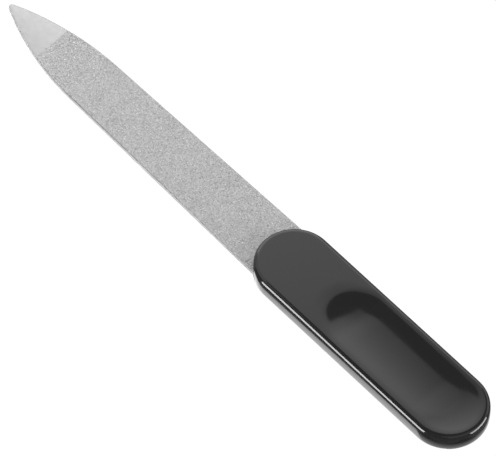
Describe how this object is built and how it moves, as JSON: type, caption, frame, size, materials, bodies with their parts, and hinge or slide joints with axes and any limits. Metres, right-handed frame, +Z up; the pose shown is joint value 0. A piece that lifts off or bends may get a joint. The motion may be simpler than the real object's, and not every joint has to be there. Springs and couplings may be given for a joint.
{
  "type": "metal nail file",
  "caption": "Flat steel nail file with abrasive-coated faces, a bare pointed tip and a moulded round-ended handle with finger dishes.",
  "frame": {"origin": "middle of the file's overall length and width, on the surface that the handle rests on", "axes": "+X along the file from the blade's tip to the handle's end, +Y across its width, +Z up out of the upper filing face"},
  "size_m": [0.14, 0.0164, 0.0046],
  "materials": {
    "steel": "fine satin steel",
    "grit": "fine grey abrasive grains in a hard clear bond, matte",
    "black_plastic": "glossy moulded black"
  },
  "bodies": {
    "root": {"blade": "steel", "grit_coat_top": "grit", "grit_coat_underside": "grit", "handle": "black_plastic"}
  },
  "joints": []
}
